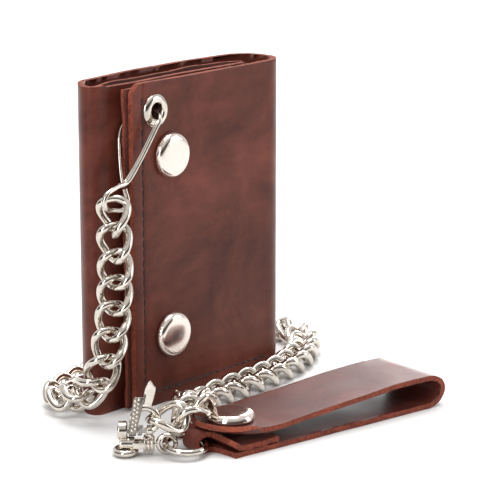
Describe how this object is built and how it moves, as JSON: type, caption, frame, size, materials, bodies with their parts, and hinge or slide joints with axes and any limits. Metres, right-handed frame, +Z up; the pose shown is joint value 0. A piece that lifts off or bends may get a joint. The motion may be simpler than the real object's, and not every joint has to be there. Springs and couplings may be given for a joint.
{
  "type": "chain wallet",
  "caption": "Upright trifold leather wallet with snap closures, tied by a wire clip and a curb chain to a trigger hook, a ring and a snap-down leather belt loop.",
  "frame": {"origin": "the front panel's free lower corner, at its outer face, on the surface the wallet stands on", "axes": "+X across the front panel from its free edge to the fold, +Y from the front to the back, +Z up"},
  "size_m": [0.1376, 0.1081, 0.108],
  "materials": {
    "leather": "satin",
    "lining": "matte",
    "thread": "waxed",
    "nickel": "polished",
    "steel": "satin"
  },
  "bodies": {
    "front": {"front_panel": "leather", "front_lining": "lining", "front_stitching": "thread", "right_fold": "leather", "snap_cap_lower": "nickel", "snap_cap_upper": "nickel", "snap_socket_lower": "steel", "snap_socket_upper": "steel", "eyelet": "nickel", "eyelet_washer": "steel", "clip_frame": "nickel", "chain_link_01": "nickel", "chain_link_02": "nickel", "chain_link_03": "nickel", "chain_link_04": "nickel", "chain_link_05": "nickel", "chain_link_06": "nickel", "chain_link_07": "nickel", "chain_link_08": "nickel", "chain_link_09": "nickel", "chain_link_10": "nickel", "chain_link_11": "nickel", "chain_link_12": "nickel", "chain_link_28": "nickel", "chain_link_29": "nickel", "chain_link_30": "nickel", "chain_link_31": "nickel", "chain_link_32": "nickel", "chain_link_33": "nickel", "chain_link_34": "nickel", "chain_link_35": "nickel", "chain_link_36": "nickel", "chain_link_37": "nickel", "chain_link_38": "nickel", "chain_link_39": "nickel", "chain_link_40": "nickel", "chain_link_41": "nickel", "chain_link_42": "nickel", "chain_rear_run": "nickel", "hook_body": "nickel", "hook_pin": "steel", "hook_spring": "steel"},
    "wallet_back": {"back_panel": "leather", "left_fold": "leather", "bill_divider": "lining"},
    "inner_panel": {"inner_flap": "leather", "card_pocket": "lining", "snap_stud_lower": "steel", "snap_stud_upper": "steel"},
    "tongue": {"clip_tongue": "nickel"},
    "trigger": {"hook_trigger": "nickel"},
    "swivel": {"swivel_eye": "nickel"},
    "ring": {"belt_ring": "nickel"},
    "belt_lower": {"belt_base": "leather", "belt_fold": "leather", "belt_snap_stud": "steel"},
    "belt_upper": {"belt_top": "leather", "belt_snap_cap": "nickel", "belt_snap_socket": "steel"}
  },
  "joints": [
    {"name": "wallet_opening", "type": "hinge", "parent": "front", "child": "wallet_back", "pos_m": [0.0675, 0.01075, 0], "axis": [0, 0, -1], "range_deg": [0, 165], "deforming": ["right_fold", "chain_link_10", "chain_link_11", "chain_link_12", "chain_rear_run"]},
    {"name": "inner_panel_opening", "type": "hinge", "parent": "wallet_back", "child": "inner_panel", "pos_m": [-0.004, 0.013, 0], "axis": [0, 0, -1], "range_deg": [0, 30], "deforming": ["left_fold"]},
    {"name": "clip_opening", "type": "hinge", "parent": "front", "child": "tongue", "pos_m": [-0.0055, -0.0002, 0.0776], "axis": [0, 1, 0], "range_deg": [-35, 0], "stiffness_Nm_per_rad": 0.02},
    {"name": "trigger_press", "type": "hinge", "parent": "front", "child": "trigger", "pos_m": [-0.0319, -0.0286, 0.008], "axis": [0.6508, -0.7593, 0], "range_deg": [0, 30], "stiffness_Nm_per_rad": 0.01, "deforming": ["hook_spring"]},
    {"name": "swivel_turn", "type": "hinge", "parent": "front", "child": "swivel", "pos_m": [-0.0298, -0.0311, 0.0037], "axis": [0.6508, -0.7593, 0], "range_deg": [-25, 40]},
    {"name": "ring_swing", "type": "hinge", "parent": "front", "child": "ring", "pos_m": [-0.0254, -0.0362, 0.0037], "axis": [0, 0, 1], "range_deg": [-25, 0]},
    {"name": "belt_loop_turn", "type": "hinge", "parent": "ring", "child": "belt_lower", "pos_m": [-0.0214, -0.0409, 0.00335], "axis": [0, 0, 1], "range_deg": [-14, 0]},
    {"name": "belt_loop_opening", "type": "hinge", "parent": "belt_lower", "child": "belt_upper", "pos_m": [0.0667, -0.0578, 0.0057], "axis": [0.1908, 0.9816, 0], "range_deg": [0, 110], "deforming": ["belt_fold"]}
  ],
  "couplings": [
    {"joint": "inner_panel_opening", "follows": "wallet_opening", "ratio": 0.18}
  ]
}
